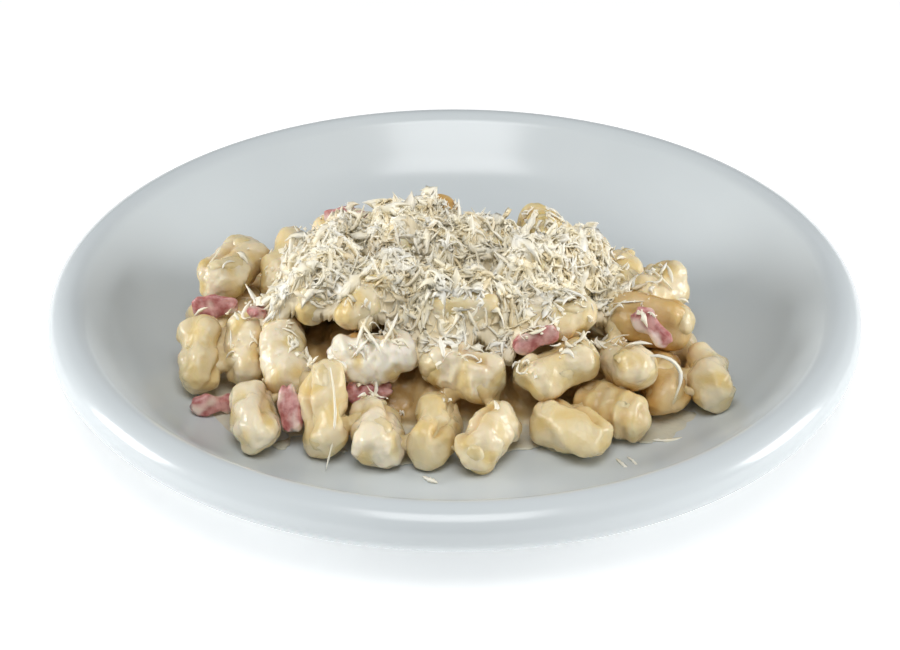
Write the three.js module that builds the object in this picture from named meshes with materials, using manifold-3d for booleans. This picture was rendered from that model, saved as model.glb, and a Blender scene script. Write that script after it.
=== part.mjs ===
// A pasta plate of potato gnocchi in cream sauce, with ham and a mound of grated hard cheese.
// Millimetres, +Z up. The origin is the centre of the circle that the foot ring stands on.
import * as THREE from "three";
import { mergeVertices } from "three/addons/utils/BufferGeometryUtils.js";
import Module from "manifold-3d";

const wasm = await Module();
wasm.setup();

// ---------- driving dimensions ----------

const seam = 0.3; // clearance between pieces that touch

const plate = {
  crestRadius: 123.3, // top of the rolled rim
  height: 32,
  rollRadius: 7, // outside of the roll
  wall: 4.2,
  wallSlope: 50, // degrees from level, just under the rim
  floorRadius: 80.4, // flat inner floor
  coveRadius: 40, // between floor and wall
  floorTop: 7,
  floorUnder: 2.5, // underside of the floor above the table
  lipEnd: -65, // degrees round the roll where the lip stops
  footOuter: 74,
  footInner: 68,
  segments: 44,
};

const gnocco = {
  length: 30,
  radius: 7.3,
  unevenLength: 2.5, // how far one gnocco's length may differ from another's
  unevenRadius: 0.5,
  unevenRoll: 50, // degrees from lying with the hollow up
  around: 9,
  stations: [-0.88, -0.52, 0, 0.52, 0.88], // along the half length
  bluntness: 4,
  ridge: 0.035, // depth of the ribs left by the grooved board, as a share of the radius
  dent: 0.16, // depth of the thumb's hollow, as a share of the radius
};

const ham = { length: 14.5, radius: 3.2, thin: 0.85, around: 7, stations: [-0.8, -0.1, 0.75] };

// Sections of the room left round a piece: [share of the half length, share of the radius].
const room = { around: 7, stations: [[-0.93, 0.66], [-0.6, 1], [0.6, 1], [0.93, 0.66]] };

const heap = { x: -3, y: -12 }; // middle of the heap on the plate
// Sauce-bound inside that the upper gnocchi lie on. A flatness above 2 makes its top flatter than a ball's.
const core = { halfLength: 60, halfWidth: 27, rise: 28, flatness: 2.8 };
const sauce = { halfLength: 78, halfWidth: 45, rise: 31, flatness: 2.4, around: 28, rings: 5 };
const puddle = { halfLength: 91, halfWidth: 57, rise: 1.3, flatness: 2, around: 40, rings: 2 };
const cheese = {
  x: -1, y: 4, bottom: 36, halfLength: 50, halfWidth: 32, rise: 18, flatness: 2, around: 26, rings: 5,
};

// Where the gnocchi of the front and top are laid: [x, y, z, yaw, pitch].
// Yaw turns a piece's long axis from +X, pitch lifts the end that yaw points to.
const laid = [
  // on the plate, from left to right
  [-77, -25, 15, 75, 15], [-57, -56, 16, 110, 20], [-42, -57, 20, 94, 48], [-24, -63, 15, 118, 5],
  [-6, -61, 17, 72, 18], [9, -66, 17, 58, 18], [34, -59, 16, 138, 12], [49, -50, 15, 168, 0],
  [62, -36, 15, 95, 0], [73, -37, 15, 98, 0], [67, -11, 15, 120, 0],
  // leaning on those
  [-76, -6, 17, 100, 0], [-63, -23, 22, 60, 10], [-49, -36, 29, 80, 30], [-23, -40, 28, -5, 0],
  [5, -47, 28, -12, 0], [33, -45, 28, 18, 0], [51, -37, 23, 90, -10], [56, -28, 27, -6, 0],
  [64, -4, 25, 60, 0], [52, 10, 27, 65, 0], [-69, 7, 27, 30, 0],
  // top of the heap
  [-51, 14, 32, 60, 0], [-44, 11, 35, 85, 10], [29, -34, 38, 5, 0], [43, 16, 33, 120, 0],
  [-25, -26, 42, 20, 0], [2, -30, 42, -15, 0], [-39, -19, 38, 70, 0], [27, -7, 40, 40, 0],
  [-18, 11, 42, 100, 0], [5, 4, 43, 20, 0], [-12, 29, 37, 0, 0], [31, 28, 34, 120, 0], [-35, 28, 33, 20, 0],
];

// The gnocchi round the back lie along two ovals: angles are turned from +X about the middle of the heap.
const backRows = [
  { rest: 15, halfLength: 76, halfWidth: 55, from: 30, to: 156, count: 7 },
  { rest: 25, halfLength: 58, halfWidth: 44, from: 58, to: 126, count: 3 },
];

// Strips and dice of ham between and on the gnocchi: [x, y, z, yaw, pitch].
const hamLaid = [
  [-76, -42, 11, 10, 0], [-77, -9, 29, 20, 10], [-60, -20, 33, 60, 20], [-50, -57, 21, 95, 50],
  [-26, -48, 23, 30, 20], [25, -44, 37, 20, 10], [-36, 22, 43, 10, 0], [61, -32, 35, 120, 0],
];

// ---------- small tools ----------

const radians = THREE.MathUtils.degToRad;

// The same uneven numbers on every run.
function makeDice(seed) {
  let state = seed;
  return (spread) => {
    state = (state * 48271) % 2147483647;
    return spread * ((2 * state) / 2147483647 - 1);
  };
}

function solidOf(geometry) {
  const bare = geometry.clone();
  bare.deleteAttribute("normal");
  bare.deleteAttribute("uv");
  const merged = mergeVertices(bare, 1e-4);
  return new wasm.Manifold(
    new wasm.Mesh({
      numProp: 3,
      vertProperties: merged.attributes.position.array,
      triVerts: new Uint32Array(merged.index.array),
    }),
  );
}

function geometryOf(solid) {
  const mesh = solid.getMesh();
  const geometry = new THREE.BufferGeometry();
  geometry.setAttribute("position", new THREE.BufferAttribute(mesh.vertProperties, 3));
  geometry.setIndex(new THREE.BufferAttribute(mesh.triVerts, 1));
  geometry.computeVertexNormals();
  return geometry;
}

// A closed skin over rings of points, from one pole to the other.
function closedSkin(poleA, rings, poleB) {
  const around = rings[0].length;
  const points = [poleA, ...rings.flat(), poleB];
  const at = (ring, k) => 1 + ring * around + (k % around);
  const last = points.length - 1;
  const faces = [];
  for (let k = 0; k < around; k++) {
    faces.push(0, at(0, k + 1), at(0, k));
    for (let ring = 0; ring + 1 < rings.length; ring++) {
      faces.push(at(ring, k), at(ring, k + 1), at(ring + 1, k + 1));
      faces.push(at(ring, k), at(ring + 1, k + 1), at(ring + 1, k));
    }
    faces.push(last, at(rings.length - 1, k), at(rings.length - 1, k + 1));
  }
  const geometry = new THREE.BufferGeometry().setFromPoints(points);
  geometry.setIndex(faces);
  return geometry;
}

// ---------- plate ----------

function arc(x, y, radius, from, to, steps) {
  const points = [];
  for (let i = 0; i <= steps; i++) {
    const a = radians(THREE.MathUtils.lerp(from, to, i / steps));
    points.push(new THREE.Vector2(x + radius * Math.cos(a), y + radius * Math.sin(a)));
  }
  return points;
}

function plateGeometry() {
  const p = plate;
  const rollX = p.crestRadius;
  const rollY = p.height - p.rollRadius;
  const coveY = p.floorTop + p.coveRadius;
  const rollStart = 90 + p.wallSlope;
  const lipCentre = p.rollRadius - p.wall / 2;
  const lip = radians(p.lipEnd);
  const profile = [
    new THREE.Vector2(0, p.floorTop),
    ...arc(p.floorRadius, coveY, p.coveRadius, -90, -90 + p.wallSlope, 5),
    ...arc(rollX, rollY, p.rollRadius, rollStart, p.lipEnd, 9),
    ...arc(rollX + lipCentre * Math.cos(lip), rollY + lipCentre * Math.sin(lip), p.wall / 2,
      p.lipEnd - 60, p.lipEnd - 120, 1),
    ...arc(rollX, rollY, p.rollRadius - p.wall, p.lipEnd, rollStart, 5),
    ...arc(p.floorRadius, coveY, p.coveRadius + p.wall, -90 + p.wallSlope, -80, 3),
    new THREE.Vector2(p.footOuter + 1, p.floorUnder),
    new THREE.Vector2(p.footOuter, 0),
    new THREE.Vector2(p.footInner, 0),
    new THREE.Vector2(p.footInner - 1, p.floorUnder),
    new THREE.Vector2(0, p.floorUnder),
  ];
  return new THREE.LatheGeometry(profile.reverse(), p.segments).rotateX(Math.PI / 2);
}

// ---------- gnocchi and ham, each shaped about its own long axis X ----------

// A rolled potato dumpling: blunt ends, shallow ribs over its back, a thumb's hollow along its belly.
function gnoccoGeometry(length, radius) {
  const half = length / 2;
  const rings = gnocco.stations.map((t, station) => {
    const ring = [];
    const taper = Math.sqrt(1 - Math.pow(Math.abs(t), gnocco.bluntness));
    for (let k = 0; k < gnocco.around; k++) {
      const a = (2 * Math.PI * k) / gnocco.around;
      const back = Math.max(0, Math.sin(a));
      const belly = Math.pow(Math.max(0, -Math.sin(a)), 4);
      const rib = station % 2 ? -gnocco.ridge * back : 0;
      const hollow = -gnocco.dent * belly * (1 - t * t);
      const r = radius * taper * (1 + rib + hollow);
      ring.push(new THREE.Vector3(half * t, r * Math.cos(a), r * Math.sin(a)));
    }
    return ring;
  });
  return closedSkin(new THREE.Vector3(-half, 0, 0), rings, new THREE.Vector3(half, 0, 0));
}

// A torn strip of ham: a flattened, uneven bar.
function hamGeometry(length, radius) {
  const half = length / 2;
  const rings = ham.stations.map((t, station) => {
    const ring = [];
    for (let k = 0; k < ham.around; k++) {
      const a = (2 * Math.PI * k) / ham.around;
      const torn = 0.97 + 0.05 * Math.sin(2.7 * k + 1.9 * station);
      const r = radius * torn * (1 - 0.2 * t * t);
      ring.push(new THREE.Vector3(half * t, r * Math.cos(a), ham.thin * r * Math.sin(a)));
    }
    return ring;
  });
  return closedSkin(new THREE.Vector3(-half, 0, 0), rings, new THREE.Vector3(half, 0, 0));
}

// The room a piece takes up in the sauce and cheese: a plain blunt bar a seam larger all round.
function roomGeometry({ shape, length, radius }) {
  const half = length / 2 + seam;
  const outside = (radius + seam) / Math.cos(Math.PI / room.around);
  const thin = shape === hamGeometry ? ham.thin : 1;
  const rings = room.stations.map(([t, share]) => {
    const ring = [];
    for (let k = 0; k < room.around; k++) {
      const a = (2 * Math.PI * (k + 0.5)) / room.around;
      ring.push(new THREE.Vector3(half * t, outside * share * Math.cos(a),
        (thin * outside * share + (1 - thin) * seam) * Math.sin(a)));
    }
    return ring;
  });
  return closedSkin(new THREE.Vector3(-half, 0, 0), rings, new THREE.Vector3(half, 0, 0));
}

// ---------- laying the heap ----------

function layPiece(shape, x, y, z, yaw, pitch, roll, length, radius) {
  const along = new THREE.Vector3(
    Math.cos(radians(yaw)) * Math.cos(radians(pitch)),
    Math.sin(radians(yaw)) * Math.cos(radians(pitch)),
    Math.sin(radians(pitch)),
  );
  const middle = new THREE.Vector3(x, y, z);
  const reach = length / 2 - radius;
  const ends = [-reach, reach].map((way) => middle.clone().addScaledVector(along, way));
  return {
    shape, roll: radians(roll), length, radius, reach, ends,
    laidEnds: ends.map((end) => end.clone()),
  };
}

// The nearest places on the middle lines of two pieces, as shares from their first ends.
function nearest(a, b) {
  const d1 = a.ends[1].clone().sub(a.ends[0]);
  const d2 = b.ends[1].clone().sub(b.ends[0]);
  const r = a.ends[0].clone().sub(b.ends[0]);
  const [aa, ee, f, c, bb] = [d1.dot(d1), d2.dot(d2), d2.dot(r), d1.dot(r), d1.dot(d2)];
  const denom = aa * ee - bb * bb;
  const clamp = (v) => THREE.MathUtils.clamp(v, 0, 1);
  let s = denom > 1e-6 ? clamp((bb * f - c * ee) / denom) : 0.5;
  const t = clamp((bb * s + f) / ee);
  s = clamp((bb * t - c) / aa);
  return [s, t];
}

const pointOn = (piece, share) => piece.ends[0].clone().lerp(piece.ends[1], share);

function pushApart(a, b) {
  const [s, t] = nearest(a, b);
  const apart = pointOn(a, s).sub(pointOn(b, t));
  const short = a.radius + b.radius + seam - apart.length();
  if (short <= 0) return;
  apart.setLength(short / 2);
  a.ends[0].addScaledVector(apart, 1 - s);
  a.ends[1].addScaledVector(apart, s);
  b.ends[0].addScaledVector(apart, t - 1);
  b.ends[1].addScaledVector(apart, -t);
}

// Holds an end above the plate's floor, inside its cove and outside the core of the heap.
function keepInPlace(end, radius) {
  end.z = Math.max(end.z, plate.floorTop + radius + seam);
  const out = Math.hypot(end.x, end.y);
  const over = out - plate.floorRadius;
  const below = plate.floorTop + plate.coveRadius - end.z;
  const reach = Math.hypot(over, below);
  const clear = plate.coveRadius - radius - seam;
  if (over > 0 && below > 0 && reach > clear) {
    const inward = (plate.floorRadius + (over * clear) / reach) / out;
    end.set(end.x * inward, end.y * inward, plate.floorTop + plate.coveRadius - (below * clear) / reach);
  }
  const from = new THREE.Vector3(end.x - heap.x, end.y - heap.y, end.z - plate.floorTop);
  const outward = Math.hypot(from.x / (core.halfLength + radius), from.y / (core.halfWidth + radius));
  const upward = from.z / (core.rise + radius);
  const depth = (outward ** core.flatness + upward ** core.flatness) ** (1 / core.flatness);
  if (depth < 1) end.addScaledVector(from, 1 / depth - 1);
}

// Pushes the pieces off each other while each is held near where it was laid, then lets them drop
// until they touch.
function settle(pieces) {
  const passes = 600;
  const hold = 0.05;
  for (let pass = 0; pass < passes; pass++) {
    const easing = Math.max(0, 1 - pass / (0.5 * passes));
    const sink = pass < 0.85 * passes ? 0.012 : 0;
    for (const piece of pieces) {
      piece.ends.forEach((end, i) => {
        end.lerp(piece.laidEnds[i], hold * easing);
        end.z -= sink;
      });
    }
    for (let i = 0; i < pieces.length; i++) {
      for (let j = i + 1; j < pieces.length; j++) pushApart(pieces[i], pieces[j]);
    }
    for (const piece of pieces) {
      for (const end of piece.ends) keepInPlace(end, piece.radius);
      const middle = pointOn(piece, 0.5);
      const along = piece.ends[1].clone().sub(piece.ends[0]).setLength(piece.reach);
      piece.ends[0].copy(middle).sub(along);
      piece.ends[1].copy(middle).add(along);
    }
  }
}

function backPlaces({ rest, halfLength, halfWidth, from, to, count }, dice) {
  return Array.from({ length: count }, (_, i) => {
    const a = radians(THREE.MathUtils.lerp(from, to, i / (count - 1)));
    const [x, y] = [halfLength * Math.cos(a), halfWidth * Math.sin(a)];
    const alongOval = THREE.MathUtils.radToDeg(Math.atan2(x / halfLength, -y / halfWidth));
    return [heap.x + x, heap.y + y, rest, alongOval + dice(50), 0];
  });
}

function layGnocchi() {
  const dice = makeDice(7);
  const places = [...laid, ...backRows.flatMap((row) => backPlaces(row, dice))];
  return places.map((place) =>
    layPiece(gnoccoGeometry, ...place, 180 + dice(gnocco.unevenRoll),
      gnocco.length + dice(gnocco.unevenLength), gnocco.radius + dice(gnocco.unevenRadius)));
}

function layHam() {
  return hamLaid.map((place) => layPiece(hamGeometry, ...place, 0, ham.length, ham.radius));
}

// Turns a piece's long axis X to where it lies, rolled about it.
function poseOf(piece) {
  const along = piece.ends[1].clone().sub(piece.ends[0]).normalize();
  const up = new THREE.Vector3(0, 0, 1).applyAxisAngle(along, piece.roll);
  const across = up.cross(along).normalize();
  const back = along.clone().cross(across);
  return new THREE.Matrix4().makeBasis(along, across, back).setPosition(pointOn(piece, 0.5));
}

function roomFor(pieces) {
  const solids = pieces.map((piece) => solidOf(roomGeometry(piece).applyMatrix4(poseOf(piece))));
  return solids.reduce((all, one) => all.add(one));
}

// ---------- what lies between and over the gnocchi ----------

// A dome with an uneven outline, closed by a flat underside.
function dome(x, y, bottom, { halfLength, halfWidth, rise, flatness, around, rings: count }, uneven, phase) {
  const rings = [];
  for (let i = 0; i < count; i++) {
    const lift = (Math.PI / 2) * (i / count);
    const ring = [];
    for (let k = 0; k < around; k++) {
      const a = (2 * Math.PI * k) / around;
      const wave = 1 + uneven * (Math.sin(3 * a + phase) + 0.6 * Math.sin(5 * a + 2 * phase + i));
      const r = Math.cos(lift) ** (2 / flatness) * wave;
      ring.push(new THREE.Vector3(x + halfLength * r * Math.cos(a), y + halfWidth * r * Math.sin(a),
        bottom + rise * Math.sin(lift) ** (2 / flatness)));
    }
    rings.push(ring);
  }
  return closedSkin(new THREE.Vector3(x, y, bottom), rings, new THREE.Vector3(x, y, bottom + rise));
}

function largest(solid) {
  return solid.decompose().sort((a, b) => b.volume() - a.volume())[0];
}

function sauceSolid(pieces, dish) {
  const bottom = plate.floorTop + seam;
  const bed = solidOf(dome(heap.x, heap.y, bottom, sauce, 0.02, 1));
  const pool = solidOf(dome(heap.x, heap.y, bottom, puddle, 0.035, 4));
  return largest(bed.add(pool).subtract(roomFor(pieces)).subtract(dish.translate([0, 0, seam])));
}

function cheeseSolid(pieces) {
  const mound = solidOf(dome(cheese.x, cheese.y, cheese.bottom, cheese, 0.05, 2));
  const sauceAndSeam = {
    ...sauce,
    halfLength: sauce.halfLength + seam,
    halfWidth: sauce.halfWidth + seam,
    rise: sauce.rise + 2 * seam,
  };
  const sauceRoom = solidOf(dome(heap.x, heap.y, plate.floorTop, sauceAndSeam, 0.02, 1));
  return largest(mound.subtract(roomFor(pieces)).subtract(sauceRoom));
}

// ---------- the served plate ----------

function finish(color, roughness) {
  return new THREE.MeshStandardMaterial({ color, roughness, metalness: 0 });
}

const porcelain = finish("#eef1f1", 0.12);
const potato = finish("#e9d9a6", 0.38);
const cream = finish("#efe6cf", 0.25);
const curedHam = finish("#b5706a", 0.45);
const hardCheese = finish("#f0e6c4", 0.6);

const served = new THREE.Group();

function addMesh(name, geometry, material) {
  const mesh = new THREE.Mesh(geometry, material);
  mesh.name = name;
  served.add(mesh);
  return mesh;
}

function addPiece(name, piece, material) {
  addMesh(name, piece.shape(piece.length, piece.radius), material).applyMatrix4(poseOf(piece));
}

const gnocchi = layGnocchi();
const hamPieces = layHam();
const pieces = [...gnocchi, ...hamPieces];
settle(pieces);

const numbered = (stem, index) => `${stem}_${String(index + 1).padStart(2, "0")}`;

const dish = plateGeometry();
addMesh("plate", dish, porcelain);
gnocchi.forEach((piece, i) => addPiece(numbered("gnocco", i), piece, potato));
hamPieces.forEach((piece, i) => addPiece(numbered("ham", i), piece, curedHam));
addMesh("cream_sauce", geometryOf(sauceSolid(pieces, solidOf(dish))), cream);
addMesh("grated_cheese", geometryOf(cheeseSolid(pieces)), hardCheese);

export default served;
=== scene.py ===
import math

import bpy
import numpy as np
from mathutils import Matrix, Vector


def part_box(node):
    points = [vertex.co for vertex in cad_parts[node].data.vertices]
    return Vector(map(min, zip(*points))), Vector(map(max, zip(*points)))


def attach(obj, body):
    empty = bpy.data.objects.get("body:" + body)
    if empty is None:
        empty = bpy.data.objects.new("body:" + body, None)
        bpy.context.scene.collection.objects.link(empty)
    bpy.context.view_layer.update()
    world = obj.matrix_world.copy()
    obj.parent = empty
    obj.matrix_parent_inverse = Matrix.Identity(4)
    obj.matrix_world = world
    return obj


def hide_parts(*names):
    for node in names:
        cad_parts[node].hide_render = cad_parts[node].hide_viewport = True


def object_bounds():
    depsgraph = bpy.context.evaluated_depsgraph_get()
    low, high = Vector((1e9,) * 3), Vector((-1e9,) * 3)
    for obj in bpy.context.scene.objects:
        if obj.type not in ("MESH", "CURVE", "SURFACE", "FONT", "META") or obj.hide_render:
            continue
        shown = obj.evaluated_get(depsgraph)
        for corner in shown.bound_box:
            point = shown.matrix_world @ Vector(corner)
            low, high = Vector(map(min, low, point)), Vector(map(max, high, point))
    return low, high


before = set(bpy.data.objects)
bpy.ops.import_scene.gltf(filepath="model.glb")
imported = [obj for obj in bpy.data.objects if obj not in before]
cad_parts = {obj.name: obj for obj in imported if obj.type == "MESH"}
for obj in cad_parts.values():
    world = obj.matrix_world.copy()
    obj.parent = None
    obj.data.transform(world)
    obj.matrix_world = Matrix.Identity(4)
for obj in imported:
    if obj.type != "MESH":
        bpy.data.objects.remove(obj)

cad_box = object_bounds()

# A main-course plate of potato gnocchi in cream, with ham and a mound of finely grated hard cheese.
# Shapes are worked out in millimetres and become metres in add_piece. The dice are seeded.

MM = 0.001

# ---------- sizes, in millimetres ----------

plate_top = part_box("plate")[1] / MM

plate = {
    "roll": 7.0,  # outside radius of the rolled rim
    "crest": plate_top.x - 7.0,
    "height": plate_top.z,
    "wall": 4.2,
    "wall_slope": 50.0,  # degrees from level
    "floor_radius": 80.4,
    "cove": 40.0,
    "floor_top": 7.0,
    "floor_under": 2.5,
    "lip_end": -65.0,
    "foot_outer": 74.0,
    "foot_inner": 68.0,
    "around": 264,
}

heap = {"x": -3.0, "y": -12.0}
bed = {"half_length": 73.0, "half_width": 42.0, "rise": 23.0}  # cream inside the heap

cream = {
    "grid": 1.05,
    "fillet": 1.7,  # how wide the cream bridges where two gnocchi meet
    "below_skin": 0.7,  # how far the cream's level lies under a bare gnocco's skin
    "reach": 8.0,
}

mound = {"thick": 2.6}
piles = [  # the main mound of cheese, and smaller falls at its front left and its right
    {"x": -4.0, "y": -7.0, "half_length": 55.0, "half_width": 38.0},
    {"x": -43.0, "y": -19.0, "half_length": 20.0, "half_width": 15.0},
    {"x": 33.0, "y": -4.0, "half_length": 24.0, "half_width": 20.0},
]

# Where cream ran out over the plate: the middle and half sizes of each puddle.
spills = [
    {"x": -3.0, "y": -13.0, "half_length": 86.0, "half_width": 54.0, "deep": 0.8},
    {"x": -74.0, "y": -46.0, "half_length": 21.0, "half_width": 19.0, "deep": 0.6},
    {"x": 64.0, "y": -50.0, "half_length": 22.0, "half_width": 11.0, "deep": 0.55},
]

CELL = 0.5
grid_x, grid_y = np.meshgrid(np.arange(-110.0, 106.0, CELL), np.arange(-96.0, 74.0, CELL), indexing="ij")
table = {"cell": CELL, "x": grid_x, "y": grid_y}  # places on the plate for the cheese to fall on

slim = 0.95  # a gnocco's own radius, as a share of its solid's
shorter = {"gnocco_12": 0.72, "gnocco_13": 0.86, "gnocco_17": 0.82, "gnocco_18": 0.9, "gnocco_01": 0.88}
gnocco_grid = (60, 56)  # points around a gnocco and along it

# ---------- tools ----------


def dice(seed):
    return np.random.default_rng(seed)


def smooth_step(low, high, value):
    t = np.clip((value - low) / (high - low), 0.0, 1.0)
    return t * t * (3.0 - 2.0 * t)


def unit(v):
    v = np.asarray(v, float)
    return v / np.linalg.norm(v, axis=-1, keepdims=True)


def swell(points, size, seed, waves=14):
    """Smooth uneven numbers, about -1 to 1, with bumps about `size` mm apart."""
    throw = dice(seed)
    ways = unit(throw.normal(size=(waves, 3)))
    pace = 2 * math.pi / (size * throw.uniform(0.7, 1.5, waves))
    start = throw.uniform(0, 2 * math.pi, waves)
    phase = points.reshape(-1, 3) @ (ways * pace[:, None]).T + start
    return (np.sin(phase).sum(1) * math.sqrt(2.0 / waves) * 0.6).reshape(points.shape[:-1])


def add_piece(name, points_mm, faces, material, numbers=None, smooth=True):
    """Makes one mesh from points in millimetres, and puts it on the plate's body."""
    mesh = bpy.data.meshes.new(name)
    mesh.from_pydata((np.asarray(points_mm) * MM).tolist(), [], [list(map(int, f)) for f in faces])
    mesh.validate()
    mesh.polygons.foreach_set("use_smooth", [smooth] * len(mesh.polygons))
    for label, values in (numbers or {}).items():
        layer = mesh.attributes.new(label, "FLOAT", "POINT")
        layer.data.foreach_set("value", np.asarray(values, np.float32))
    mesh.materials.append(material)
    mesh.update()
    piece = bpy.data.objects.new(name, mesh)
    bpy.context.scene.collection.objects.link(piece)
    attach(piece, "root")
    return piece


def ring_faces(rings, around, poles=True):
    """Faces over rings of points. With poles, point 0 and the last point close the ends."""
    k = np.arange(around)
    after = (k + 1) % around
    first = 1 if poles else 0
    faces = []
    for ring in range(rings - 1):
        a = first + ring * around
        b = a + around
        faces.append(np.stack([a + k, a + after, b + after, b + k], 1))
    quads = np.concatenate(faces).tolist()
    if poles:
        last = first + rings * around
        start = first + (rings - 1) * around
        quads += [[0, first + j, first + i] for i, j in zip(k, after)]
        quads += [[last, start + i, start + j] for i, j in zip(k, after)]
    return quads


# ---------- materials ----------


def lin(hex_colour):
    """An sRGB hex colour as the linear numbers that a shader takes."""
    c = np.array([int(hex_colour[i:i + 2], 16) / 255 for i in (1, 3, 5)])
    c = np.where(c <= 0.04045, c / 12.92, ((c + 0.055) / 1.055) ** 2.4)
    return (*c.tolist(), 1.0)


def add(tree, kind, settings=None, links=None):
    """Adds a node, sets its properties and inputs, and links the outputs that feed it."""
    node = tree.nodes.new(kind)
    for name, value in (settings or {}).items():
        if isinstance(name, int) or name in node.inputs:
            node.inputs[name].default_value = value
        else:
            setattr(node, name, value)
    for name, output in (links or {}).items():
        tree.links.new(output, node.inputs[name])
    return node


def start_material(name):
    material = bpy.data.materials.new(name)
    material.use_nodes = True
    tree = material.node_tree
    tree.nodes.clear()
    place = add(tree, "ShaderNodeTexCoord").outputs["Object"]
    return material, tree, place


def finish_material(tree, settings, links):
    skin = add(tree, "ShaderNodeBsdfPrincipled", settings, links)
    add(tree, "ShaderNodeOutputMaterial", links={"Surface": skin.outputs[0]})


def per(size_mm):
    """A noise scale whose pattern repeats about every size_mm."""
    return 1.0 / (size_mm * MM)


def glazed_porcelain():
    # Hard-paste porcelain, jiggered, dipped in clear glaze and fired: cold white, with a wet shine
    # and the faint long waves of a glaze that flowed.
    material, tree, place = start_material("glazed_porcelain")
    flow = add(tree, "ShaderNodeTexNoise", {"Scale": per(45.0), "Detail": 1.0}, {"Vector": place})
    tint = add(tree, "ShaderNodeMix", {"data_type": "RGBA", 6: lin("#cfd6d9"), 7: lin("#d5dbdd")},
               {0: flow.outputs[0]})
    wave = add(tree, "ShaderNodeBump", {"Strength": 0.05, "Distance": 0.4 * MM}, {"Height": flow.outputs[0]})
    finish_material(tree, {"Roughness": 0.2, "IOR": 1.52},
                    {"Base Color": tint.outputs[2], "Normal": wave.outputs[0]})
    return material


def boiled_potato_dough():
    # Potato dough, rolled on a grooved board and boiled: soft pale yellow, a little see-through,
    # with a satin skin and a whiter and wetter film of cream. Butter gold is painted in as shade in
    # the creases and ribs, where pieces press and deep in the heap, and browns a few whole pieces.
    material, tree, place = start_material("boiled_potato_dough")
    blotch = add(tree, "ShaderNodeTexNoise", {"Scale": per(9.0), "Detail": 4.0}, {"Vector": place})
    spread = add(tree, "ShaderNodeMapRange", {1: 0.4, 2: 0.6}, {0: blotch.outputs[0]})
    dough = add(tree, "ShaderNodeMix", {"data_type": "RGBA", 6: lin("#e0c789"), 7: lin("#e7d5a8")},
                {0: spread.outputs[0]})
    film = add(tree, "ShaderNodeAttribute", {"attribute_name": "cream"})
    coated = add(tree, "ShaderNodeMix", {"data_type": "RGBA", 7: lin("#f1e5ca")},
                 {0: film.outputs["Fac"], 6: dough.outputs[2]})
    # Painted shade: this attribute mixes in butter gold where gnocchi press, in creases and ribs and deep
    # under the heap; it also carries the brown tone of a few whole pieces.
    deep = add(tree, "ShaderNodeAttribute", {"attribute_name": "shade_and_brown"})
    heavy = add(tree, "ShaderNodeMapRange", {1: 0.95, 2: 1.35}, {0: film.outputs["Fac"]})
    iced = add(tree, "ShaderNodeMix", {"data_type": "RGBA", 7: lin("#f5eedd")},
               {0: heavy.outputs[0], 6: coated.outputs[2]})
    shade_brown_mix = add(tree, "ShaderNodeMix", {"data_type": "RGBA", 7: lin("#cca363")},
                 {0: deep.outputs["Fac"], 6: iced.outputs[2]})
    shine = add(tree, "ShaderNodeMapRange", {3: 0.3, 4: 0.14}, {0: film.outputs["Fac"]})
    grain = add(tree, "ShaderNodeTexNoise", {"Scale": per(2.0), "Detail": 5.0}, {"Vector": place})
    rough = add(tree, "ShaderNodeBump", {"Strength": 0.6, "Distance": 0.5 * MM},
                {"Height": grain.outputs[0]})
    finish_material(
        tree,
        {"IOR": 1.42, "Subsurface Weight": 0.4, "Subsurface Scale": 2.6 * MM,
         "Subsurface Radius": (1.0, 0.7, 0.35)},
        {"Base Color": shade_brown_mix.outputs[2], "Roughness": shine.outputs[0], "Normal": rough.outputs[0]})
    return material


def reduced_cream():
    # Dairy cream boiled down with cheese: opaque ivory with a wet shine and fine curds, with butter
    # gold painted in as shade in the crevices between gnocchi and deep under the heap.
    material, tree, place = start_material("reduced_cream")
    curd = add(tree, "ShaderNodeTexNoise", {"Scale": per(5.0), "Detail": 4.0}, {"Vector": place})
    spread = add(tree, "ShaderNodeMapRange", {1: 0.35, 2: 0.65}, {0: curd.outputs[0]})
    tint = add(tree, "ShaderNodeMix", {"data_type": "RGBA", 6: lin("#dfca96"), 7: lin("#ecdcb6")},
               {0: spread.outputs[0]})
    # Painted shade: this attribute turns the cream butter gold where gnocchi press close and deep under the
    # heap.
    deep = add(tree, "ShaderNodeAttribute", {"attribute_name": "shade_and_brown"})
    shade_brown_mix = add(tree, "ShaderNodeMix", {"data_type": "RGBA", 7: lin("#c4a26c")},
                 {0: deep.outputs["Fac"], 6: tint.outputs[2]})
    thin = add(tree, "ShaderNodeAttribute", {"attribute_name": "thin"})
    watery = add(tree, "ShaderNodeMix", {"data_type": "RGBA", 7: lin("#d6d3c4")},
                 {0: thin.outputs["Fac"], 6: shade_brown_mix.outputs[2]})
    bits = add(tree, "ShaderNodeTexNoise", {"Scale": per(1.6), "Detail": 4.0}, {"Vector": place})
    rough = add(tree, "ShaderNodeBump", {"Strength": 0.6, "Distance": 0.45 * MM},
                {"Height": bits.outputs[0]})
    finish_material(
        tree,
        {"Roughness": 0.24, "IOR": 1.45, "Subsurface Weight": 0.3, "Subsurface Scale": 2.2 * MM,
         "Subsurface Radius": (1.0, 0.75, 0.45)},
        {"Base Color": watery.outputs[2], "Normal": rough.outputs[0]})
    return material


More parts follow.
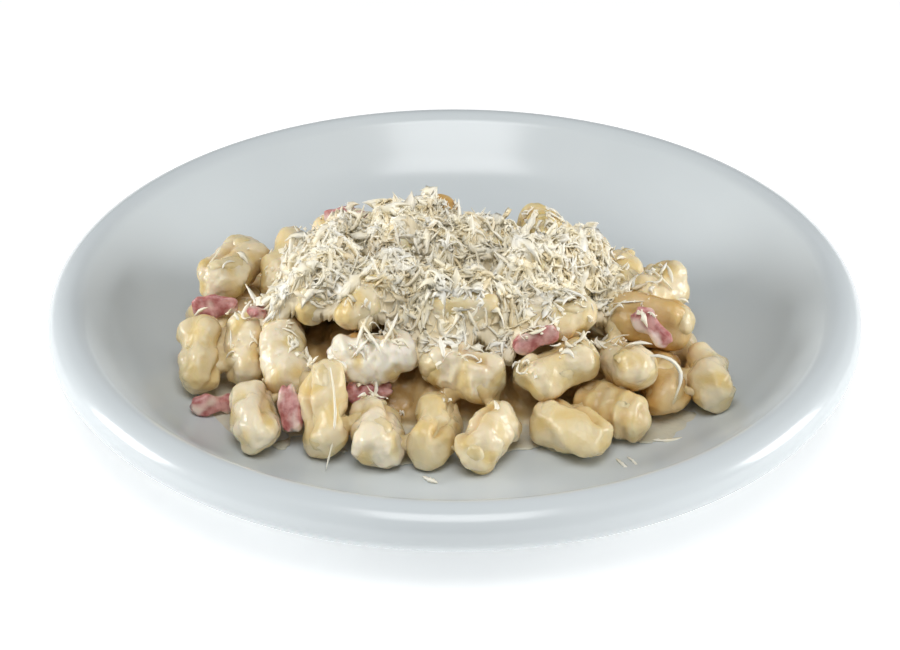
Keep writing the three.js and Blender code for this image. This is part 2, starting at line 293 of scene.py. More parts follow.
def cooked_ham():
    # Cured leg ham, cut in strips and warmed in the cream: mottled pink to rose, moist, with grain.
    material, tree, place = start_material("cooked_ham")
    grain = add(tree, "ShaderNodeTexNoise", {"Scale": per(2.4), "Detail": 5.0}, {"Vector": place})
    spread = add(tree, "ShaderNodeMapRange", {1: 0.35, 2: 0.65}, {0: grain.outputs[0]})
    meat = add(tree, "ShaderNodeMix", {"data_type": "RGBA", 6: lin("#ad6562"), 7: lin("#d8a5a0")},
               {0: spread.outputs[0]})
    film = add(tree, "ShaderNodeAttribute", {"attribute_name": "cream"})
    coated = add(tree, "ShaderNodeMix", {"data_type": "RGBA", 7: lin("#ecdccd")},
                 {0: film.outputs["Fac"], 6: meat.outputs[2]})
    rough = add(tree, "ShaderNodeBump", {"Strength": 0.6, "Distance": 0.4 * MM},
                {"Height": grain.outputs[0]})
    finish_material(
        tree,
        {"Roughness": 0.32, "IOR": 1.42, "Subsurface Weight": 0.3, "Subsurface Scale": 2.0 * MM,
         "Subsurface Radius": (1.0, 0.45, 0.35)},
        {"Base Color": coated.outputs[2], "Normal": rough.outputs[0]})
    return material


def grated_hard_cheese():
    # Aged cow's-milk cheese off a fine grater: dry, matt, pale straw to white, each shred torn and
    # crumbly. Butter yellow is painted in as warm shade on what lies low and under the loose shreds.
    material, tree, place = start_material("grated_hard_cheese")
    blotch = add(tree, "ShaderNodeTexNoise", {"Scale": per(7.0), "Detail": 4.0}, {"Vector": place})
    spread = add(tree, "ShaderNodeMapRange", {1: 0.35, 2: 0.65}, {0: blotch.outputs[0]})
    paste = add(tree, "ShaderNodeMix", {"data_type": "RGBA", 6: lin("#fdf3d6"), 7: lin("#fffcf1")},
                {0: spread.outputs[0]})
    # Painted shade: this attribute mixes in butter yellow as the warm shade low in the mound.
    low = add(tree, "ShaderNodeAttribute", {"attribute_name": "warm_shade"})
    warm_shaded_paste = add(tree, "ShaderNodeMix", {"data_type": "RGBA", 7: lin("#e4c47c")},
                 {0: low.outputs["Fac"], 6: paste.outputs[2]})
    crumble = add(tree, "ShaderNodeTexNoise", {"Scale": per(0.8), "Detail": 3.0}, {"Vector": place})
    rough = add(tree, "ShaderNodeBump", {"Strength": 0.5, "Distance": 0.2 * MM},
                {"Height": crumble.outputs[0]})
    finish_material(
        tree,
        {"Roughness": 0.5, "IOR": 1.45},
        {"Base Color": warm_shaded_paste.outputs[2], "Normal": rough.outputs[0]})
    return material


# ---------- plate ----------


def arc(x, y, radius, start, end, steps):
    a = np.radians(np.linspace(start, end, steps + 1))
    return np.stack([x + radius * np.cos(a), y + radius * np.sin(a)], 1)


def plate_profile():
    """Outline of half the plate's section, from the middle of its floor round to its underside."""
    p = plate
    roll_x, roll_y = p["crest"], p["height"] - p["roll"]
    cove_y = p["floor_top"] + p["cove"]
    roll_start = 90 + p["wall_slope"]
    lip_middle = p["roll"] - p["wall"] / 2
    lip = math.radians(p["lip_end"])
    lip_x, lip_y = roll_x + lip_middle * math.cos(lip), roll_y + lip_middle * math.sin(lip)
    floor = np.stack([np.linspace(2.0, p["floor_radius"] - 2, 14), np.full(14, p["floor_top"])], 1)
    soften = 0.8  # radius of the foot ring's edges
    return np.concatenate([
        floor,
        arc(p["floor_radius"], cove_y, p["cove"], -90, -90 + p["wall_slope"], 24),
        arc(roll_x, roll_y, p["roll"], roll_start, p["lip_end"], 40),
        arc(lip_x, lip_y, p["wall"] / 2, p["lip_end"] - 20, p["lip_end"] - 160, 8),
        arc(roll_x, roll_y, p["roll"] - p["wall"], p["lip_end"], roll_start, 16),
        arc(p["floor_radius"], cove_y, p["cove"] + p["wall"], -90 + p["wall_slope"], -80, 14),
        [[p["foot_outer"] + 1.6, p["floor_under"] + 0.35], [p["foot_outer"] + 0.5, p["floor_under"] - 0.6]],
        arc(p["foot_outer"] - soften, soften, soften, 0, -90, 4),
        arc(p["foot_inner"] + soften, soften, soften, -90, -180, 4),
        [[p["foot_inner"] - 0.6, p["floor_under"] - 0.5], [p["foot_inner"] - 1.8, p["floor_under"]]],
        [[30.0, p["floor_under"]]],
    ])


def make_plate(material):
    profile = plate_profile()
    around = plate["around"]
    a = 2 * math.pi * np.arange(around) / around
    x = profile[:, 0, None] * np.cos(a)
    y = profile[:, 0, None] * np.sin(a)
    z = np.repeat(profile[:, 1, None], around, 1)
    rings = np.stack([x, y, z], 2)
    middle_top, middle_under = [0, 0, plate["floor_top"]], [0, 0, plate["floor_under"]]
    points = np.concatenate([[middle_top], rings.reshape(-1, 3), [middle_under]])
    faces = [face[::-1] for face in ring_faces(len(profile), around)]
    piece = add_piece("porcelain_plate", points, faces, material)
    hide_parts("plate")


# ---------- heights over the plate ----------


def blurred(heights, width):
    """A height map without what is finer than about `width` cells."""
    fx = np.fft.fftfreq(heights.shape[0])[:, None]
    fy = np.fft.rfftfreq(heights.shape[1])[None]
    keep = np.exp(-2 * (math.pi * width) ** 2 * (fx ** 2 + fy ** 2))
    return np.fft.irfft2(np.fft.rfft2(heights) * keep, s=heights.shape)


def bar_heights(bars):
    """How high gnocchi and ham stand over the plate, on the square grid of `table`."""
    gx, gy = table["x"], table["y"]
    over = np.clip(np.hypot(gx, gy) - plate["floor_radius"], 0, plate["cove"] * 0.76)
    top = plate["floor_top"] + plate["cove"] - np.sqrt(plate["cove"] ** 2 - over ** 2)
    for bar in bars:
        radius, reach = bar["radius"], bar["half"] - bar["radius"]
        for share in np.linspace(-1, 1, 15):
            middle = bar["middle"] + bar["along"] * reach * share
            flat = radius ** 2 - (gx - middle[0]) ** 2 - (gy - middle[1]) ** 2
            top = np.where(flat > 0, np.maximum(top, middle[2] + np.sqrt(np.maximum(flat, 0))), top)
    return top


def bridged(heights, width):
    """The face that a cloth would take over the tops of a height map, near enough."""
    return blurred(heights ** 6, width / table["cell"]) ** (1 / 6)


def cream_heights(field, low, step):
    """How high the cream stands, on the same grid."""
    inside = field < 0
    levels = low[2] + step * np.arange(field.shape[2])
    last = field.shape[2] - 1 - inside[:, :, ::-1].argmax(2)
    highest = np.where(inside.any(2), levels[last], 0.0)
    i = np.clip(((table["x"] - low[0]) / step).round().astype(int), 0, field.shape[0] - 1)
    j = np.clip(((table["y"] - low[1]) / step).round().astype(int), 0, field.shape[1] - 1)
    return highest[i, j]


def cell_at(x, y):
    i = np.clip(((x - table["x"][0, 0]) / table["cell"]).astype(int), 0, table["x"].shape[0] - 1)
    j = np.clip(((y - table["y"][0, 0]) / table["cell"]).astype(int), 0, table["x"].shape[1] - 1)
    return i, j


# ---------- gnocchi ----------

# What shows on the gnocchi at the front, in mm: how deep the ribs and the thumb's crease are and how
# far apart the ribs lie. "turn" is how far round the crease lies from the side that shows, in
# degrees, "cream" is how much of a gnocco its film of cream covers, thick and white above 1, and
# the last is how much of the painted butter-gold shade a whole piece takes: painted shade on
# gnocco_19, which lies in shadow, and a browner tone on gnocco_09 and gnocco_33.
plain = {"ribs": 0.06, "pitch": 3.2, "crease": 1.1, "turn": 70, "cream": 0.5, "brown_tone": 0.0}
shown = {
    "gnocco_01": {"ribs": 0.1, "cream": 0.35},
    "gnocco_02": {"ribs": 0.1, "crease": 1.0, "turn": 40, "cream": 0.7},
    "gnocco_03": {"ribs": 0.0, "crease": 1.5, "turn": -62, "cream": 0.4},
    "gnocco_04": {"ribs": 0.15, "pitch": 4.0, "crease": 0.8, "turn": 30, "cream": 0.75},
    "gnocco_05": {"ribs": 0.0, "crease": 2.8, "turn": -5, "cream": 0.3},
    "gnocco_06": {"ribs": 0.2, "crease": 1.2, "turn": 45, "cream": 0.5},
    "gnocco_07": {"ribs": 0.05, "cream": 0.25},
    "gnocco_08": {"ribs": 0.9, "pitch": 4.8, "turn": 170, "cream": 0.25},
    "gnocco_13": {"crease": 1.3, "turn": 60, "cream": 0.6},
    "gnocco_09": {"brown_tone": 0.45, "cream": 0.2},
    "gnocco_14": {"ribs": 0.1, "pitch": 3.6, "cream": 0.7},
    "gnocco_15": {"ribs": 0.0, "cream": 1.5},
    "gnocco_16": {"ribs": 0.0, "crease": 1.5, "turn": 50, "cream": 0.7},
    # painted shade: this piece's brown tone stands for the shadow it lies in
    "gnocco_19": {"ribs": 0.0, "brown_tone": 0.5, "cream": 0.15},
    "gnocco_22": {"ribs": 0.1, "turn": 40, "cream": 0.6},
    "gnocco_33": {"brown_tone": 0.8, "cream": 0.1},
    "gnocco_34": {"ribs": 1.0, "pitch": 2.6, "turn": 180, "cream": 0.1},
    "gnocco_35": {"ribs": 0.0, "crease": 1.8, "turn": 30, "cream": 0.5},
}


def node_points(name):
    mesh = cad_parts[name].data
    points = np.zeros(len(mesh.vertices) * 3, np.float32)
    mesh.vertices.foreach_get("co", points)
    return np.unique(points.reshape(-1, 3).astype(float).round(6), axis=0) / MM


def bar_of(name):
    """The middle, direction, half length and radius of the bar that a piece was laid as."""
    points = node_points(name)
    apart = np.linalg.norm(points[:, None] - points[None], axis=2)
    i, j = np.unravel_index(apart.argmax(), apart.shape)
    along = unit(points[j] - points[i])
    if along[0] < 0:
        along = -along
    middle = (points[i] + points[j]) / 2
    away = points - middle
    radius = np.linalg.norm(away - np.outer(away @ along, along), axis=1).max()
    return {"name": name, "middle": middle, "along": along, "half": apart[i, j] / 2, "radius": radius,
            "long": shorter.get(name, 0.94)}


def bar_distance(points, bar):
    """How far points lie outside a bar's skin."""
    radius = bar["radius"] * slim
    reach = bar["half"] * bar["long"] - radius
    away = points - bar["middle"]
    along = np.clip(away @ bar["along"], -reach, reach)
    return np.linalg.norm(away - along[..., None] * bar["along"], axis=-1) - radius


def sunk(points, face):
    """How deep points lie under the heap's face: 0 at its top, 1 in a gap."""
    i, j = cell_at(points[:, 0], points[:, 1])
    return smooth_step(5.0, 18.0, face[i, j] - points[:, 2])


def crowding(points, bars, own):
    """How closely the neighbours press round each point: 0 in the open, 1 where they press close; it sets
    how much painted shade lies there.
    """
    total = np.zeros(len(points))
    for bar in bars:
        if bar is not own and np.linalg.norm(bar["middle"] - own["middle"]) < 40:
            total += np.exp(-np.maximum(bar_distance(points, bar), 0) / 1.9)
    return np.clip(total * 1.1 - 0.12, 0, 1)


def bar_surface(bar, around, rings):
    """Points over a bar with round ends: their centres on its middle line, and their ways out."""
    radius = bar["radius"] * slim
    reach = bar["half"] * bar["long"] - radius
    quarter = math.pi / 2 * radius
    track = np.linspace(0, 2 * quarter + 2 * reach, rings + 2)[1:-1]
    past = track - quarter - 2 * reach
    lean = np.where(track < quarter, track / radius - math.pi / 2, np.where(past > 0, past / radius, 0))
    centre_x = np.where(track < quarter, -reach, np.where(past > 0, reach, track - quarter - reach))
    turn = 2 * math.pi * np.arange(around) / around
    way = np.stack([np.repeat(np.sin(lean)[:, None], around, 1),
                    np.cos(lean)[:, None] * np.cos(turn),
                    np.cos(lean)[:, None] * np.sin(turn)], 2)
    centre = np.zeros_like(way)
    centre[..., 0] = centre_x[:, None]
    way = np.concatenate([[[-1.0, 0, 0]], way.reshape(-1, 3), [[1.0, 0, 0]]])
    centre = np.concatenate([[[-reach, 0, 0]], centre.reshape(-1, 3), [[reach, 0, 0]]])
    return centre, way, radius


def gnocco_mesh(bar, bars, face, look, seed):
    """Points, cream film and painted shade of one gnocco: a plump bent bar, ribbed, creased and lumpy."""
    throw = dice(seed)
    centre, way, radius = bar_surface(bar, *gnocco_grid)
    toward = unit(np.array([0.1, -0.8, 0.6]) + 0.15 * throw.normal(size=3))
    along = bar["along"]
    front = unit(toward - (toward @ along) * along)
    pose = np.stack([along, np.cross(front, along), front], 1)  # X along, Z to the side that shows

    local = centre + radius * way
    share = local[:, 0] / bar["half"]
    plump = 0.35 * (1 - 2.2 * share ** 2)
    local = local + way * plump[:, None]
    bow = throw.uniform(0.5, 1.9)
    bow_turn = throw.uniform(0, 2 * math.pi)
    local[:, 1] += bow * math.cos(bow_turn) * (0.4 - share ** 2)
    local[:, 2] += bow * math.sin(bow_turn) * (0.4 - share ** 2)
    world_way = way @ pose.T
    world = bar["middle"] + local @ pose.T

    x = local[:, 0]
    angle = np.arctan2(way[:, 1], way[:, 2])
    crease_turn = math.radians(look["turn"] + throw.uniform(-10, 10))
    off = np.abs((angle - crease_turn + 0.02 * x + math.pi) % (2 * math.pi) - math.pi)
    off_ribs = np.abs((angle - crease_turn) % (2 * math.pi) - math.pi)
    body = 1 - way[:, 0] ** 2
    crease = (np.exp(-(off / 0.17) ** 2) + 0.5 * np.exp(-(off / 0.5) ** 2)) * body
    crease *= smooth_step(1.0, 0.5, np.abs(share))
    rib_wave = 0.5 - 0.5 * np.cos(2 * math.pi * (x + 0.6 * np.sin(angle * 2 + seed)) / look["pitch"])
    ribbed = smooth_step(1.9, 1.0, off_ribs) * smooth_step(1.0, 0.75, np.abs(share))
    lumps = 1.0 * swell(world, 11.0, seed * 3 + 1) + 0.24 * swell(world, 4.6, seed * 3 + 2)
    film = smooth_step(-0.55, 0.6, swell(world, 8.0, seed * 3 + 4) + look["cream"] - 0.5
                       + 0.2 * world_way[:, 2])
    film = film * min(1.5, look["cream"] * 1.3)
    thick = film * (0.42 + 0.32 * swell(world, 3.4, seed * 3 + 5)) + 0.06 * swell(world, 2.2, seed)
    squash = 0.09 * np.cos(2 * angle + throw.uniform(0, 6.0)) * radius
    rise = lumps + thick + squash * body
    rise -= look["ribs"] * rib_wave * ribbed * (1 - 0.5 * film)
    rise -= look["crease"] * crease
    points = world + world_way * rise[:, None]
    # Painted shade: butter gold in the crease and between the ribs, where neighbours press and deep under
    # the heap's face, plus each piece's listed brown tone.
    groove_shade_and_brown = 0.4 * crease + 0.5 * look["ribs"] * rib_wave * ribbed + look["brown_tone"]
    shade_and_brown = np.clip(crowding(points, bars, bar) + 0.45 * sunk(points, face) + groove_shade_and_brown, 0, 1)
    return points, film, shade_and_brown


def make_gnocchi(bars, face, material):
    around, rings = gnocco_grid
    faces = ring_faces(rings, around)
    for number, bar in enumerate(bars):
        look = {**plain, **shown.get(bar["name"], {})}
        points, film, shade_and_brown = gnocco_mesh(bar, bars, face, look, 100 + number)
        piece = add_piece(bar["name"].replace("gnocco", "potato_gnocco"), points, faces, material,
                          {"cream": film, "shade_and_brown": shade_and_brown})
        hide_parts(bar["name"])


# ---------- cream ----------


def skin_over(field, low, step):
    """A mesh over the places where a grid of numbers crosses zero, inside being below zero."""
    inside = field < 0
    shape = np.array(field.shape)
    total = np.zeros((*(shape - 1), 3))
    count = np.zeros(shape - 1)
    for axis in range(3):
        a = [slice(0, -1) if i == axis else slice(None) for i in range(3)]
        b = [slice(1, None) if i == axis else slice(None) for i in range(3)]
        fa, fb = field[tuple(a)], field[tuple(b)]
        cross = inside[tuple(a)] != inside[tuple(b)]
        share = np.where(cross, fa / np.where(cross, fa - fb, 1.0), 0.0)
        index = np.indices(fa.shape).astype(float)
        others = [i for i in range(3) if i != axis]
        for shift in ((0, 0), (0, 1), (1, 0), (1, 1)):
            part = [slice(None)] * 3
            for i, s in zip(others, shift):
                part[i] = slice(s, shape[i] - 1 + s)
            part = tuple(part)
            hit = cross[part]
            for i in range(3):
                where = index[i][part] + (share[part] if i == axis else 0.0)
                total[..., i] += np.where(hit, where, 0.0)
            count += hit
    used = count > 0
    number = np.full(shape - 1, -1)
    number[used] = np.arange(used.sum())
    points = low + step * (total[used] / count[used][:, None])
    faces = []
    for axis in range(3):
        a = [slice(0, -1) if i == axis else slice(1, -1) for i in range(3)]
        b = [slice(1, None) if i == axis else slice(1, -1) for i in range(3)]
        ia, ib = inside[tuple(a)], inside[tuple(b)]
        at = np.argwhere(ia != ib)
        out = ia[tuple(at.T)]
        cell = at + [0 if i == axis else 1 for i in range(3)]
        u, v = [(1, 2), (2, 0), (0, 1)][axis]
        eu, ev = np.eye(3, dtype=int)[u], np.eye(3, dtype=int)[v]
        quad = [number[tuple((cell - i * eu - j * ev).T)] for i, j in ((1, 1), (0, 1), (0, 0), (1, 0))]
        quad = np.stack(quad, 1)
        quad[~out] = quad[~out][:, ::-1]
        faces.append(quad)
    return points, np.concatenate(faces)


def pool_level(x, y):
    """How deep the cream lies on the plate, with uneven edges."""
    flat = np.stack([x, y, np.zeros_like(x)], -1)
    uneven = 0.13 * swell(flat, 24.0, 41) + 0.05 * swell(flat, 7.0, 42)
    level = np.zeros_like(x)
    for spill in spills:
        rho = np.hypot((x - spill["x"]) / spill["half_length"], (y - spill["y"]) / spill["half_width"])
        level = np.maximum(level, spill["deep"] * smooth_step(1.0, 0.8, rho + uneven))
    return level


def cream_field(bars):
    """How far each point of a grid lies outside the cream, and how closely gnocchi press there."""
    step = cream["grid"]
    low = np.array([-103.0, -86.0, 6.25])  # puts a layer of points .3 mm over the plate
    high = np.array([98.0, 66.0, 52.0])
    axes = [np.arange(low[i], high[i], step) for i in range(3)]
    grid = np.stack(np.meshgrid(*axes, indexing="ij"), -1)
    total = np.zeros(grid.shape[:3])
    press = np.zeros(grid.shape[:3])
    near = cream["reach"]
    for bar in bars:
        ends = bar["middle"] + np.outer([-1, 1], bar["along"] * (bar["half"] - bar["radius"]))
        first = np.floor((ends.min(0) - bar["radius"] - near - low) / step).astype(int).clip(0)
        last = np.ceil((ends.max(0) + bar["radius"] + near - low) / step).astype(int)
        part = tuple(slice(a, b) for a, b in zip(first, last))
        away = bar_distance(grid[part], bar)
        total[part] += np.exp(-away / cream["fillet"])
        press[part] += np.exp(-np.maximum(away, 0) / 2.6)
    x, y, z = grid[..., 0], grid[..., 1], grid[..., 2]
    rho = np.hypot((x - heap["x"]) / bed["half_length"], (y - heap["y"]) / bed["half_width"])
    inner = (np.hypot(rho, (z - 7.0) / bed["rise"]) - 1.0) * bed["rise"] + 1.6 * swell(grid, 10.0, 25)
    total += np.exp(-np.maximum(inner, -8) / cream["fillet"])
    field = -cream["fillet"] * np.log(np.maximum(total, 1e-9))
    patches = smooth_step(0.0, 0.8, swell(grid, 13.0, 21)) * (0.6 + 0.4 * smooth_step(10, 30, z))
    drops = 0.22 * swell(grid, 3.2, 22)
    bare = 1.9 * smooth_step(1.5, 1.15, press) * (1 - patches)
    field = field + cream["below_skin"] + bare - 1.15 * patches + drops
    level = pool_level(x[:, :, 0], y[:, :, 0])[:, :, None]
    pool = z - plate["floor_top"] - level + 0.15 * swell(grid, 5.0, 23) * (level > 0.1)
    joined = 1.0 * np.log(np.exp(-np.clip(field, -9, 9) / 1.0) + np.exp(-np.clip(pool, -9, 9) / 1.0))
    field = np.where(level > 0.02, np.minimum(-joined, field), field)
    return field, press, low, step, z


def make_cream(bars, face, material):
    field, press, low, step, z = cream_field(bars)
    field = np.maximum(field, plate["floor_top"] + 0.05 - z)
    field[[0, -1]] = field[:, [0, -1]] = 1.0
    field[:, :, [0, -1]] = 1.0
    points, faces = skin_over(field, low, step)
    at = np.round((points - low) / step).astype(int)
    thick = 0.08 + 0.92 * smooth_step(8.2, 12.0, points[:, 2])  # where it isn't just a film on the plate
    # Painted shade: butter gold where gnocchi press close and, where the cream is thick, deep under the
    # heap's face.
    shade_and_brown = smooth_step(1.15, 2.1, press[tuple(at.T)]) + sunk(points, face) * thick
    shade_and_brown = np.clip(shade_and_brown * (1 + 0.3 * swell(points, 4.0, 24)), 0, 1)
    thin = 0.85 * smooth_step(8.6, 7.7, points[:, 2]) * (1 - shade_and_brown)
    piece = add_piece("cream_between_gnocchi", points, faces, material,
                      {"shade_and_brown": shade_and_brown, "thin": thin})
    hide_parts("cream_sauce")
    return field, low, step


# ---------- ham ----------


def ham_mesh(bar, around, rings, seed):
    """Points and cream film of one strip of ham: a flat torn bar with the meat's long grain."""
    throw = dice(seed)
    half = bar["half"]
    s = np.linspace(-1, 1, rings + 2)[1:-1]
    turn = 2 * math.pi * np.arange(around) / around
    torn = 1 + 0.16 * np.sin(2.5 * s + throw.uniform(0, 6)) + 0.1 * np.sin(6 * s + throw.uniform(0, 6))
    width = bar["radius"] * 0.98 * (1 - np.abs(s) ** 5) ** 0.5 * torn
    thick = bar["radius"] * 0.5 * (1 - np.abs(s) ** 7) ** 0.5
    corner = 0.7  # below 1 squares the strip's section
    y = width[:, None] * np.sign(np.cos(turn)) * np.abs(np.cos(turn)) ** corner
    z = thick[:, None] * np.sign(np.sin(turn)) * np.abs(np.sin(turn)) ** corner
    ragged = 1.0 * np.sin(2.3 * turn + seed) + 0.5 * np.sin(5 * turn + 2 * seed)
    x = (half * s)[:, None] + 0.55 * ragged[None] * s[:, None] ** 3
    z = z + throw.uniform(-1.6, 1.6) * s[:, None] ** 2 + 0.12 * y * throw.uniform(-1, 1)
    local = np.concatenate([[[-half, 0, 0]], np.stack([x, y, z], 2).reshape(-1, 3), [[half, 0, 0]]])
    along = bar["along"]
    toward = np.array([0.2, -0.7, 0.7]) + 0.4 * throw.normal(size=3)
    front = unit(toward - (toward @ along) * along)
    pose = np.stack([along, np.cross(front, along), front], 1)
    way = unit(local * [0.15, 1, 1.6] + 1e-6) @ pose.T
    world = bar["middle"] + local @ pose.T
    grain = np.stack([local[:, 0] * 0.25, local[:, 1] * 1.4, local[:, 2] * 1.4 + 9 * seed], 1)
    rise = 0.22 * swell(grain, 3.0, seed) + 0.18 * swell(local, 3.4, seed + 50)
    film = 0.85 * smooth_step(-0.1, 0.9, swell(world, 7.0, seed + 90) - 0.1)
    return world + way * (rise + 0.3 * film)[:, None], film


def make_ham(bars, material):
    around, rings = 30, 34
    faces = ring_faces(rings, around)
    for number, bar in enumerate(bars):
        points, film = ham_mesh(bar, around, rings, 300 + number)
        piece = add_piece(bar["name"].replace("ham", "ham_strip"), points, faces, material,
                          {"cream": film})
        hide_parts(bar["name"])


# ---------- cheese ----------


def cheese_share(x, y):
    """How much cheese lies over a place on the heap, from 0 to 1."""
    flat = np.stack([x, y, np.zeros_like(x)], -1)
    rho = np.min([np.hypot((x - pile["x"]) / pile["half_length"], (y - pile["y"]) / pile["half_width"])
                  for pile in piles], 0)
    return smooth_step(1.08, 0.7, rho + 0.10 * swell(flat, 26.0, 61) + 0.07 * swell(flat, 9.0, 62))


def sprinkled(x, y):
    """The thinner fall of shreds round the mound."""
    rho = np.hypot((x - heap["x"]) / 84.0, (y - heap["y"] - 2) / 54.0)
    return smooth_step(1.0, 0.5, rho)


def mound_heights(top):
    """The clumpy face of the mound, which bridges the gaps between the gnocchi under it."""
    share = cheese_share(table["x"], table["y"])
    flat = np.stack([table["x"], table["y"], np.zeros_like(top)], -1)
    clumps = 1.5 * swell(flat, 14.0, 71) + 1.0 * swell(flat, 6.5, 72)
    return bridged(top, 4.0) + share * (mound["thick"] + clumps) - (1 - share) * 1.6, share


def make_matted_cheese(face, share, material):
    """The matted cheese under the loose shreds, as one rough closed sheet over the gnocchi."""
    nx, ny = face.shape
    flat = np.stack([table["x"], table["y"], face], -1)
    rough = 0.42 * swell(flat, 3.2, 73) + 0.35 * swell(flat, 1.9, 74)
    keep = share > 0.15
    cells = keep[:-1, :-1] & keep[1:, :-1] & keep[1:, 1:] & keep[:-1, 1:]
    used = np.zeros_like(keep)
    for a, b in ((0, 0), (1, 0), (1, 1), (0, 1)):
        used[a:nx - 1 + a, b:ny - 1 + b] |= cells
    number = np.full(face.shape, -1)
    number[used] = np.arange(used.sum())
    upper = np.stack([table["x"][used], table["y"][used], (face + rough)[used] - 0.5], 1)
    lower = upper - [0, 0, 3.0]
    i, j = np.nonzero(cells)
    quad = np.stack([number[i, j], number[i + 1, j], number[i + 1, j + 1], number[i, j + 1]], 1)
    count = len(upper)
    side = np.stack([quad, np.roll(quad, -1, 1)], -1).reshape(-1, 2)
    codes = side[:, 0] * count + side[:, 1]
    edge = side[~np.isin(codes, side[:, 1] * count + side[:, 0])]
    rim = np.stack([edge[:, 1], edge[:, 0], edge[:, 0] + count, edge[:, 1] + count], 1)
    # Painted shade: the whole sheet takes some of the butter-yellow warm shade, as it lies under the shreds.
    piece = add_piece("matted_cheese", np.concatenate([upper, lower]),
                      np.concatenate([quad, quad[:, ::-1] + count, rim]), material,
                      {"warm_shade": np.full(2 * count, 0.35)})
    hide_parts("grated_cheese")


def scatter(share, count, throw):
    """Draws places over the heap at random, more of them where share says so."""
    found = np.zeros((0, 2))
    while len(found) < count:
        spots = throw.uniform((-90, -70), (84, 50), (count * 2, 2))
        taken = throw.random(count * 2) < share(spots[:, 0], spots[:, 1])
        found = np.concatenate([found, spots[taken]])
    return found[:count]


def drop_shreds(ground, spots, length, width, throw, stations=6):
    """Lets shreds fall one by one on the heap, each lying on what is already there."""
    s = np.linspace(-0.5, 0.5, stations)
    ceiling = cad_box[1][2] / MM - 0.8
    lines, widths = [], []
    for cx, cy in spots:
        size = float(np.clip(throw.lognormal(math.log(length), 0.38), length * 0.45, length * 2.2))
        wide = width * throw.uniform(0.55, 1.6)
        curl = throw.normal(0, 0.75)
        heading = throw.uniform(0, 2 * math.pi) + curl * s * 2
        x = np.cumsum(np.cos(heading)) * size / stations
        y = np.cumsum(np.sin(heading)) * size / stations
        x -= x.mean()
        y -= y.mean()
        i, j = cell_at(cx + x, cy + y)
        steep = (ground[i[-1], j[-1]] - ground[i[0], j[0]]) / size
        x = cx + x / math.hypot(1, steep)
        y = cy + y / math.hypot(1, steep)
        i, j = cell_at(x, y)
        under = ground[i, j]
        line = np.polyval(np.polyfit(s, under, 2), s)
        line += np.percentile(under - line, 70) + wide * 0.15
        line += s * throw.normal(0, 0.2) * size
        if throw.random() < 0.13:
            line = line + (s + 0.5) * throw.uniform(0.15, 0.65) * size
        if np.ptp(line) > size:
            continue
        z = np.minimum(line, ceiling)
        ground[i, j] = np.maximum(ground[i, j], z + wide * 0.12)
        lines.append(np.stack([x, y, z], 1))
        widths.append(wide)
    return np.array(lines), np.array(widths)


def shred_mesh(lines, widths, flatness, throw):
    """Torn ribbons of cheese along the given lines."""
    count, stations, _ = lines.shape
    sides = 4
    tangent = unit(np.gradient(lines, axis=1))
    upward = unit(np.array([0.0, 0.0, 1.0]) + 0.55 * throw.normal(size=(count, 1, 3)))
    across = unit(np.cross(tangent, upward))
    normal = np.cross(tangent, across)
    angle = 2 * math.pi * np.arange(sides) / sides
    angle = angle + (throw.uniform(-0.9, 0.9, (count, 1)) * np.linspace(-1, 1, stations))[..., None]
    ragged = 1 + 0.2 * throw.normal(size=(count, stations, sides))
    taper = (1 - np.abs(np.linspace(-1, 1, stations)) ** 2.5) * 0.7 + 0.3
    wide = widths[:, None, None] / 2 * taper[None, :, None] * ragged
    points = (lines[:, :, None] + (wide * np.cos(angle))[..., None] * across[:, :, None]
              + (flatness * wide * np.sin(angle))[..., None] * normal[:, :, None])
    tips = np.stack([lines[:, 0] - tangent[:, 0] * 0.4 * widths[:, None],
                     lines[:, -1] + tangent[:, -1] * 0.4 * widths[:, None]], 1)
    joined = np.concatenate([tips[:, :1], points.reshape(count, -1, 3), tips[:, 1:]], 1)
    one = ring_faces(stations, sides)
    step = (joined.shape[1] * np.arange(count))[:, None, None]
    quads = (np.array([f for f in one if len(f) == 4]) + step).reshape(-1, 4)
    ends = (np.array([f for f in one if len(f) == 3]) + step).reshape(-1, 3)
    return joined.reshape(-1, 3), quads.tolist() + ends.tolist()


def crumb_mesh(places, sizes, throw):
    """Small broken lumps: cubes pulled out of shape."""
    corner = np.array([[x, y, z] for x in (-1, 1) for y in (-1, 1) for z in (-1, 1)], float)
    face = np.array([[0, 1, 3, 2], [4, 6, 7, 5], [0, 4, 5, 1], [2, 3, 7, 6], [0, 2, 6, 4], [1, 5, 7, 3]])
    count = len(places)
    shape = corner[None] * throw.uniform(0.45, 1.0, (count, 8, 1)) * throw.uniform(0.5, 1.2, (count, 1, 3))
    spin, _ = np.linalg.qr(throw.normal(size=(count, 3, 3)))
    spin *= np.linalg.det(spin)[:, None, None]
    points = places[:, None] + sizes[:, None, None] * 0.5 * np.einsum("nij,nkj->nki", spin, shape)
    faces = face[None] + 8 * np.arange(count)[:, None, None]
    return points.reshape(-1, 3), faces.reshape(-1, 4)


